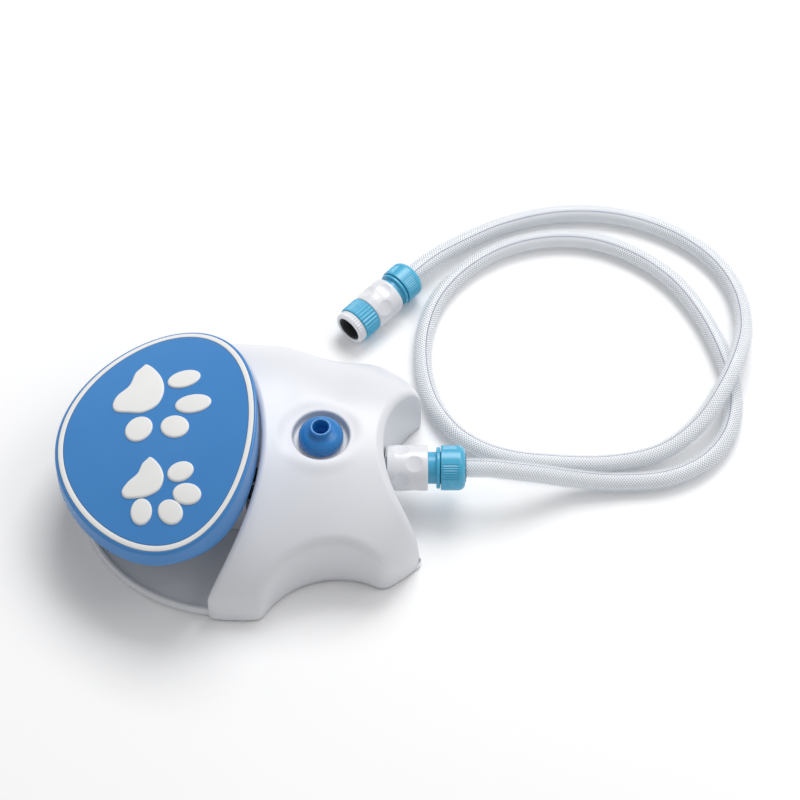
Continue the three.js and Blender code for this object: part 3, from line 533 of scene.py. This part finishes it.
def makeTray(size, plan):
    # the rim: a rounded bar carried round the tray's ellipse, from foot to foot of the housing
    end = math.acos((size["cutX"] - size["x"]) / size["halfLength"])
    a = np.linspace(end, 2 * math.pi - end, 220)
    c, s = np.cos(a), np.sin(a)
    outer = np.stack([size["x"] + size["halfLength"] * c, size["halfWidth"] * s], 1)
    normal = np.stack([c * size["halfWidth"], s * size["halfLength"]], 1)
    normal /= np.linalg.norm(normal, axis=1)[:, None]
    r, w, top = size["round"], size["rimWall"], size["rimTop"]
    k = np.linspace(0, np.pi / 2, 5)
    profile = np.array([(0.5, size["bottom"]), (0, size["bottom"] + 0.5)]
                       + [(r - r * math.cos(v), top - r + r * math.sin(v)) for v in k]
                       + [(w - r + r * math.sin(v), top - r + r * math.cos(v)) for v in k]
                       + [(w, size["floor"] + 1.5), (w + 0.6, size["floor"] + 0.3),
                          (w + 2, size["floor"] - 0.3), (w + 2, size["bottom"])])
    inset = outer[:, None] - normal[:, None] * profile[None, :, :1]
    rim = np.concatenate([inset, np.broadcast_to(profile[None, :, 1:], (len(a), len(profile), 1))], -1)
    # the floor under the pedal: across from the rim to a line under the housing's edge
    left = outer - normal * (w + 1)
    left = left[np.abs(left[:, 1]) < size["floorReach"]]
    edgeX, edgeY, edgeR = housing["pedalEdge"][:3]
    edge = edgeX + np.sqrt(np.maximum(0, edgeR ** 2 - (left[:, 1] - edgeY) ** 2)) + size["under"]
    right = np.stack([np.maximum(edge, left[:, 0] + 0.01), left[:, 1]], 1)
    t = np.linspace(0, 1, 14)[None, :, None]
    floorPlan = left[:, None] * (1 - t) + right[:, None] * t
    sheets = [np.concatenate([floorPlan, np.full((*floorPlan.shape[:2], 1), h)], -1)
              for h in (size["floor"], size["bottom"] + 0.1)]
    slab = np.concatenate([sheets[0], sheets[1][:, ::-1]], 1)
    # the plate under the housing follows its plan, a little inside the wall
    middle = np.array(housing["spout"])
    inside = plan + outlineNormals(plan, 2.0) * size["plateIn"]
    high, low = size["floor"] - 0.3, size["bottom"] + 0.2
    rows = [(0.02, high), (1.0, high), (1.0, low), (0.02, low)]
    plate = np.stack([np.column_stack([middle + (inside - middle) * share, np.full(len(plan), h)])
                      for share, h in rows])
    makePiece("baseTray", [cappedGrid(rim), cappedGrid(slab), cappedGrid(plate)], trayAbs,
              "base_tray")


makeTray(tray, bodyOutline(housing)[0][::4])
print("tray made")

# the pedal: an egg-shaped lid that slopes up to the housing, with a white line and two paws
pedal = {
    "x": -61, "halfLength": 76.5, "halfWidth": 97.5, "bluntness": 0.15,
    "lowX": -137.5, "lowZ": 67, "slope": 0.281, "arch": 0.0017,
    "depth": 16, "extraDepth": 18, "deepFrom": -45, "deepOver": 60, "plate": 3, "wall": 2.8, "edgeRound": 2.2,
    "stripeInset": 2.6, "stripeWidth": 3.8, "groove": 0.35,
    "pawHeight": 1.6, "pawRound": 1.5, "pawCrown": 0.25,
}


def eggOutline(size, count=360):
    # x = middle + L cos a, y = W sin a (1 + b cos a): blunt towards the housing
    a = np.linspace(0, 2 * np.pi, count, endpoint=False)
    return np.stack([size["x"] + size["halfLength"] * np.cos(a),
                     size["halfWidth"] * np.sin(a) * (1 + size["bluntness"] * np.cos(a))], 1)


def pedalTop(size, x, y):
    # a plane rising to the housing, less arch * y^2
    return size["lowZ"] + (x - size["lowX"]) * size["slope"] - size["arch"] * y * y


def skirtDepth(size, x):
    # depth + extra * smoothStep: deeper towards the housing
    return size["depth"] + size["extraDepth"] * smoothStep((x - size["deepFrom"]) / size["deepOver"])


def insetLine(line, distance):
    # each point moved in along the line's normal
    ahead = np.roll(line, -1, 0) - np.roll(line, 1, 0)
    ahead /= np.linalg.norm(ahead, axis=1)[:, None]
    return line + np.stack([-ahead[:, 1], ahead[:, 0]], 1) * distance


def onPedal(line, height, size=pedal):
    # a plan line set at a height over the pedal's top
    return np.column_stack([line, pedalTop(size, line[:, 0], line[:, 1]) + height])


def makePedal(size):
    # rows from the middle out over the top, down the skirt, and back in under the plate; each
    # profile point is (inset from the outline, height over the top)
    egg = eggOutline(size)
    middle = egg.mean(0)
    r, d = size["edgeRound"], skirtDepth(size, egg[:, 0])
    g0, g1 = size["stripeInset"] - size["groove"], size["stripeInset"] + size["stripeWidth"] + size["groove"]
    field = insetLine(egg, g1 + 0.8)
    rows = [onPedal(middle + (field - middle) * share, 0) for share in np.linspace(0.03, 1, 14)]
    profile = [(g1 + 0.15, 0), (g1, -0.15), (g1, -0.9), (g0, -0.9), (g0, -0.12)]
    k = np.linspace(0, np.pi / 2, 8)
    profile += [(r - r * math.sin(v), -(r - r * math.cos(v)) - 0.1) for v in k]
    rows += [onPedal(insetLine(egg, inset), height) for inset, height in profile]
    rows += [onPedal(egg, -r - (d - r - 0.8) * share) for share in (0.25, 0.5, 0.75, 1.0)]
    rows += [onPedal(insetLine(egg, 0.25), -d + 0.2), onPedal(insetLine(egg, 0.8), -d),
             onPedal(insetLine(egg, size["wall"] - 0.4), -d)]
    inner = insetLine(egg, size["wall"])
    rows += [onPedal(inner, -d + 0.4), onPedal(inner, -size["plate"] - 1)]
    rows += [onPedal(middle + (inner - middle) * share, -size["plate"])
             for share in np.linspace(0.98, 0.03, 8)]
    makePiece("pedalCover", [cappedGrid(np.stack(rows))], pedalAbs, "pedal_cover", "pedal")
    s0, s1, e = size["stripeInset"], size["stripeInset"] + size["stripeWidth"], 0.35
    band = [(s0, -0.8), (s0, 0.0), (s0 + 0.12, 0.2), (s0 + e, 0.3),
            (s1 - e, 0.3), (s1 - 0.12, 0.2), (s1, 0.0), (s1, -0.8)]
    ring = np.stack([onPedal(insetLine(egg, inset), height) for inset, height in band])
    makePiece("pedalStripe", [loopGrid(ring)], softWhite, "pedal_pinstripe", "pedal", 60)


pawOutlines = {
    "rear_paw_pad": [(-72.1, 67), (-60, 53), (-56, 36.5), (-60.5, 23.5), (-71, 18.5), (-82, 20.5),
                     (-92.5, 24), (-95, 30), (-92.3, 38.3), (-83.3, 47), (-78.6, 60.5)],
    "front_paw_pad": [(-64.5, -22), (-56, -31), (-53, -41.5), (-56.2, -50), (-64, -53.5), (-73, -53.8),
                      (-82, -52), (-84.4, -46.8), (-80.2, -40.2), (-73.1, -34.3), (-69.2, -26)],
}
pawToes = {    # middle, half length, half width, turn in degrees
    "rear_paw_toe_1": (-41.2, 45, 12.6, 8.6, 4), "rear_paw_toe_2": (-33.2, 19.4, 13.8, 8.6, -5),
    "rear_paw_toe_3": (-46.3, 1, 11.6, 9.3, -35), "rear_paw_toe_4": (-73.6, 3.9, 10.5, 11, 0),
    "front_paw_toe_1": (-40.6, -38, 9.9, 8, 2), "front_paw_toe_2": (-35.2, -56.5, 11.2, 8, -24),
    "front_paw_toe_3": (-47.2, -68.4, 10.8, 8.2, -48), "front_paw_toe_4": (-69, -64.9, 8, 10.2, 12),
}


def ovalLine(x, y, long, short, turn, count=72):
    # an ellipse turned about its middle
    a, t = np.linspace(0, 2 * np.pi, count, endpoint=False), math.radians(turn)
    u, v = long * np.cos(a), short * np.sin(a)
    return np.stack([x + u * math.cos(t) - v * math.sin(t), y + u * math.sin(t) + v * math.cos(t)], 1)


def loopLine(points, count=120):
    # a smooth closed curve through the points
    closed = np.array([(*p, 0) for p in points[-3:] + points + points[:3]], float)
    spans = 20
    curve = smoothPath(closed, spans)[3 * spans:-3 * spans, :2]
    return evenly(curve[:-1], count, closed=True)


def makePaws(size):
    # pillows with a rounded edge, a little higher in the middle: h + crown * (1 - share^2)
    lines = {**{name: loopLine(points) for name, points in pawOutlines.items()},
             **{name: ovalLine(*toe) for name, toe in pawToes.items()}}
    for name, line in lines.items():
        x, y = line[:, 0], line[:, 1]
        turning = (x * np.roll(y, -1) - np.roll(x, -1) * y).sum()
        line = line if turning > 0 else line[::-1]
        middle, r, h = line.mean(0), size["pawRound"], size["pawHeight"]
        flat = insetLine(line, r)
        rows = [onPedal(middle + (flat - middle) * share, h + size["pawCrown"] * (1 - share ** 2))
                for share in np.linspace(0.05, 1, 8)]
        rows += [onPedal(insetLine(line, r - r * math.sin(v)), h - r * (1 - math.cos(v)))
                 for v in np.linspace(0, np.pi / 2, 7)[1:]]
        rows += [onPedal(line, 0.1), onPedal(line, -0.2), onPedal(middle + (line - middle) * 0.5, -0.2)]
        makePiece(name + "Moulding", [cappedGrid(np.stack(rows))], softWhite, name,
                  "pedal", 60)


makePedal(pedal)
makePaws(pedal)
print("pedal made")


# turned pieces: the spout and the hose connectors
def softened(profile, radius, steps=4):
    # every corner of a closed profile is replaced by a short curve: a blend from the point
    # before it to the point after it, each at most radius away
    p = np.array(profile, float)
    before, after = np.roll(p, 1, 0) - p, np.roll(p, -1, 0) - p
    lengthB, lengthA = np.linalg.norm(before, axis=1)[:, None], np.linalg.norm(after, axis=1)[:, None]
    b = p + before / lengthB * np.minimum(radius, lengthB * 0.45)
    a = p + after / lengthA * np.minimum(radius, lengthA * 0.45)
    t = np.linspace(0, 1, steps)[None, :, None]
    return ((1 - t) ** 2 * b[:, None] + 2 * t * (1 - t) * p[:, None] + t ** 2 * a[:, None]).reshape(-1, 2)


def turnedGrid(profile, place, sides=96, shape=None):
    # each profile point (radius, z) is carried round local Z; shape(angle, z, radius) adds to
    # the radius; place is (origin, side, up, axis) of the piece's own frame
    a = np.linspace(0, 2 * np.pi, sides, endpoint=False)
    radius = np.broadcast_to(profile[:, :1], (len(profile), sides)).copy()
    z = np.broadcast_to(profile[:, 1:], (len(profile), sides))
    if shape is not None:
        radius += shape(a[None], z, radius)
    origin, side, up, axis = (np.array(v, float) for v in place)
    across, high = (radius * np.cos(a))[..., None], (radius * np.sin(a))[..., None]
    return origin + across * side + high * up + z[..., None] * axis


def finePoints(profile, step):
    # more points along every side of a closed profile, at most step apart
    p = np.vstack([profile, profile[:1]])
    run = np.r_[0, np.cumsum(np.linalg.norm(np.diff(p, axis=0), axis=1))]
    at = np.unique(np.r_[run, np.arange(0, run[-1], step)])[:-1]
    return np.stack([np.interp(at, run, p[:, k]) for k in range(2)], 1)


spout = {"x": 61.5, "y": 4, "z": 70.5, "height": 18}


def makeSpout(size):
    # (radius, height) round the spout: stem, base, shoulder, waist and lip, and back down the bore
    h = size["height"]
    profile = [(3, -19), (4.6, -19), (4.6, -14), (11.9, -14), (11.9, 1.4), (16.2, 1.4),
               (16.8, 2.2), (16.8, 5.6), (16.3, 7.6), (15, 9.6), (12.8, 11.4), (10.2, 12.6),
               (8.2, 13.3), (7.3, 13.9), (7.1, 14.8), (7.4, 15.4), (8.0, 15.7), (8.15, 16.3), (8.15, h - 0.7),
               (7.7, h - 0.1), (6.6, h), (5.9, h - 0.5), (5.6, 14), (5.2, 9), (3, 6)]
    upright = ((size["x"], size["y"], size["z"]), (1, 0, 0), (0, 1, 0), (0, 0, 1))
    grid = turnedGrid(softened(profile, 0.5), upright)
    makePiece("spout", [loopGrid(grid)], nozzleAbs, "nozzle", crease=50)


makeSpout(spout)

connectors = {
    "fountain_end": {
        "origin": (169.8, 0, 38), "heading": 180, "nut": 18.5, "flange": 2.4, "neck": 6.3, "collar": 31,
        "collarR": 17.3, "nutR": 17, "flangeR": 15.7, "neckR": 12.1,
        "body": "collar_fountain_end", "spin": 0.4},
    "tap_end": {
        "origin": (128.9, 196.3, 15.4), "heading": -133, "nut": 16.5, "flange": 2, "neck": 5, "collar": 25.4,
        "collarR": 15.3, "nutR": 15, "flangeR": 14, "neckR": 11.2,
        "body": "collar_tap_end", "spin": 0.1},
}
dimple = {"radius": 6.2, "depth": 1.3, "inRow": 4, "levels": (0.33, 0.66)}
hoseHole = 7.9


def connectorFrame(size):
    # the local axis runs level from the hose to the mouth; side is across it, up is up
    h = math.radians(size["heading"])
    axis = (math.cos(h), math.sin(h), 0)
    return size["origin"], (math.sin(h), -math.cos(h), 0), (0, 0, 1), axis


def nutRibs(outer, start, end, groups=4, ribs=7):
    # fine ribs in groups round the nut, with smooth flats between them
    def shape(a, z, radius):
        turn = (a * groups / (2 * np.pi)) % 1
        ribbed = (turn > 0.26) & (turn < 0.74)
        wave = 0.28 * np.cos((turn - 0.26) / 0.48 * ribs * 2 * np.pi)
        skin = (radius > outer - 0.6) * smoothStep((z - start) / 1.5) * smoothStep((end - z) / 0.8)
        return skin * np.where(ribbed, wave - 0.25, -0.05)
    return shape


def flutes(outer, count, depth, start, end, sharp=1.0):
    # even flutes along a ring: a cosine round it, fading at both ends
    def shape(a, z, radius):
        skin = (radius > outer - 1.2) * smoothStep((z - start) / 0.9) * smoothStep((end - z) / 0.9)
        return -skin * depth * (0.5 - 0.5 * np.cos(a * count)) ** sharp
    return shape


def fingerDimples(size, start):
    # shallow round hollows in two staggered rows round the collar: depth * (1 - (d / r)^2)^0.8
    def shape(a, z, radius):
        total = np.zeros(np.broadcast(a, z).shape)
        for row, level in enumerate(dimple["levels"]):
            for k in range(dimple["inRow"]):
                centre = (k + 0.5 * row) * 2 * np.pi / dimple["inRow"] + size["spin"]
                across = ((a - centre + np.pi) % (2 * np.pi) - np.pi) * size["collarR"]
                far = np.hypot(across, z - start - size["collar"] * level) / dimple["radius"]
                total += dimple["depth"] * np.clip(1 - far ** 2, 0, 1) ** 0.8
        return -total * (radius > size["collarR"] - 1.5)
    return shape


def makeConnector(tag, size):
    # nut, gripper, flanged body and collar; every profile point is (radius, distance from the nut's face)
    place = connectorFrame(size)
    flange0 = size["nut"] + 1
    neck0 = flange0 + size["flange"]
    collar0 = neck0 + size["neck"]
    mouth = collar0 + size["collar"]
    rHose, nr, n = hoseHole, size["nutR"], size["nut"]
    k = np.linspace(0, np.pi / 2, 6)
    shoulder = [(nr - 5 + 5 * math.sin(v), 5.2 - 5.2 * math.cos(v)) for v in k]
    nutProfile = [(rHose, 1.2), (nr - 6, 1.2), (nr - 6, 0)] + shoulder + \
        [(nr, n - 0.4), (nr - 0.4, n), (size["neckR"] + 0.6, n), (size["neckR"] + 0.6, 8), (rHose, 8)]
    nut = turnedGrid(finePoints(np.array(nutProfile), 1.0), place, 288, nutRibs(nr, 4.5, n - 0.5))
    nut = makePiece("hoseNut_" + tag, [loopGrid(nut)], cyanAbs, "hose_nut_" + tag)
    # the gripper: a dark slotted ring where the hose goes in
    gr = nr - 6.4
    grip = finePoints(np.array([(rHose, -0.6), (gr, -0.6), (gr, 2.5), (rHose, 2.5)]), 0.8)
    grip = turnedGrid(grip, place, 160, flutes(gr, 20, 0.9, -2, 4))
    gripper = makePiece("hoseGripper_" + tag, [loopGrid(grip)], deepCyan)
    fr, kr = size["flangeR"], size["neckR"]
    bodyProfile = [(5, 8.4), (kr, 8.4), (kr, flange0 - 0.5), (fr - 0.6, flange0 - 0.5), (fr, flange0),
                   (fr, neck0 - 0.5), (fr - 0.6, neck0), (kr + 0.4, neck0), (kr, neck0 + 0.5),
                   (kr, mouth - 2), (8.6, mouth - 2), (8.6, mouth - 19), (5, mouth - 19)]
    core = turnedGrid(softened(bodyProfile, 0.3), place)
    core = makePiece("connectorBody_" + tag, [loopGrid(core)], cyanAbs, "connector_body_" + tag)
    cr = size["collarR"]
    collarProfile = softened([(kr + 0.4, collar0), (cr - 0.3, collar0), (cr, collar0 + 3), (cr, mouth - 6),
                              (cr - 1.0, mouth), (kr + 0.4, mouth)], 0.9, 5)
    collar = turnedGrid(finePoints(collarProfile, 0.6), place, 240, fingerDimples(size, collar0))
    collar = makePiece("releaseCollar_" + tag, [loopGrid(collar)], collarAbs,
                       "release_collar_" + tag, size["body"], 60)
    return [nut, gripper, core, collar], mouth


onHose = []
for tag, size in connectors.items():
    made, mouth = makeConnector(tag, size)
    onHose += made

adaptor = {"r": 14.9, "length": 14.8, "ribs": 30, "lipR": 13.6, "lipRibs": 36, "lip": 6.5,
           "boreR": 9.6, "gap": 0.35, "threads": 7, "pitch": 1.7, "threadDepth": 0.9}


def makeAdaptor(size, start):
    # the fluted ring that takes the tap, and the white thread reducer inside it
    place = connectorFrame(connectors["tap_end"])
    r, lr, bore, gap = size["r"], size["lipR"], size["boreR"], size["gap"]
    z0 = start + gap
    z1 = z0 + size["length"]
    ringProfile = [(4.5, z0 - 14), (8.2, z0 - 14), (8.2, z0), (r - 1, z0), (r, z0 + 1),
                   (r, z1 - 0.8), (r - 0.8, z1), (11.4, z1), (11.4, z0 + 3), (4.5, z0 + 3)]
    ring = turnedGrid(finePoints(np.array(ringProfile, float), 0.7), place, 300,
                      flutes(r, size["ribs"], 0.85, z0 + 0.3, z1 + 0.6, 1.6))
    ring = makePiece("tapAdaptorRing", [loopGrid(ring)], cyanAbs, "tap_adaptor_ring",
                     "tap_adaptor", 50)
    l0, l1 = z1 + gap, z1 + gap + size["lip"]
    lipProfile = [(6.5, z0 + 5.6), (11, z0 + 5.6), (11, l0), (lr, l0), (lr, l1 - 1.6), (lr - 1, l1 - 0.2),
                  (lr - 1.8, l1), (bore + 1.4, l1), (bore + 0.7, l1 - 0.7), (bore + 0.7, z0 + 7.4),
                  (6.5, z0 + 7.4)]
    lip = turnedGrid(finePoints(np.array(lipProfile, float), 0.8), place, 300,
                     flutes(lr, size["lipRibs"], 0.55, l0 + 0.2, l1 - 0.6, 1.4))
    lip = makePiece("threadReducer", [loopGrid(lip)], collarAbs, "thread_reducer", "tap_adaptor")
    # the female thread in the mouth, coloured black as painted shade for the dark bore
    ridges = [(bore - (size["threadDepth"] if k % 2 else 0), l1 - 1.1 - size["pitch"] / 2 * k)
              for k in range(2 * size["threads"])]
    last = ridges[-1][1]
    shadedThreadProfile = [(bore + 0.6, l1 - 1.0)] + ridges + [(6.6, last - 0.3), (6.6, last - 0.8),
                                                         (bore + 0.6, last - 0.8)]
    shadedThread = turnedGrid(np.array(shadedThreadProfile), place, 120)
    shadedThread = makePiece("mouthThreadPaintedShade", [loopGrid(shadedThread)], blackRubberAndBoreShade, body="tap_adaptor",
                       crease=30)
    return [ring, lip, shadedThread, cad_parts["reducer_washer"]]


onHose += makeAdaptor(adaptor, mouth)
print("connectors made")

# floor and lights: a white studio table under big soft lights
stageSetup = {"floor": "#FFFFFF", "half": 8, "world": 0.47,
              "lights": [  # place and aim in metres, size in metres, watts
                  ((0.5, 1.5, 2.2), (0.1, 0.05, 0), 1.4, 44),
                  ((1.5, 0.3, 1.7), (0.1, 0.05, 0), 1.2, 8)]}


def makeStage(setup):
    # a pale floor, an even white sky, and softboxes turned to face what they light
    mesh = bpy.data.meshes.new("floor")
    half = setup["half"]
    corners = [(-half, -half, 0), (half, -half, 0), (half, half, 0), (-half, half, 0)]
    mesh.from_pydata(corners, [], [(0, 1, 2, 3)])
    material, tree, shader, where = newMaterial("paintedStudioTable", {"Roughness": 0.9, "IOR": 1.2})
    grain = addNode(tree, "ShaderNodeTexNoise", None, {"Vector": where.outputs["Object"], "Scale": 3.0})
    shade = addNode(tree, "ShaderNodeMix", {"data_type": "RGBA"}, {0: grain.outputs["Fac"]})
    shade.inputs[6].default_value, shade.inputs[7].default_value = linear("#FDFDFE"), linear(setup["floor"])
    tree.links.new(shade.outputs[2], shader.inputs["Base Color"])
    mesh.materials.append(material)
    floor = bpy.data.objects.new("floor", mesh)
    scene.collection.objects.link(floor)
    world = bpy.data.worlds.new("studio")
    world.use_nodes = True
    world.node_tree.nodes["Background"].inputs[0].default_value = (1, 1, 1, 1)
    world.node_tree.nodes["Background"].inputs[1].default_value = setup["world"]
    scene.world = world
    for k, (place, aim, size, watts) in enumerate(setup["lights"]):
        data = bpy.data.lights.new("softbox%d" % k, "AREA")
        data.energy, data.size = watts, size
        light = bpy.data.objects.new("softbox%d" % k, data)
        light.location = place
        towards = np.array(aim) - np.array(place)
        yaw = math.atan2(towards[1], towards[0])
        tilt = math.acos(-towards[2] / np.linalg.norm(towards))
        light.rotation_euler = (0, -tilt, yaw)
        scene.collection.objects.link(light)


makeStage(stageSetup)
bpy.context.view_layer.update()
print("done")
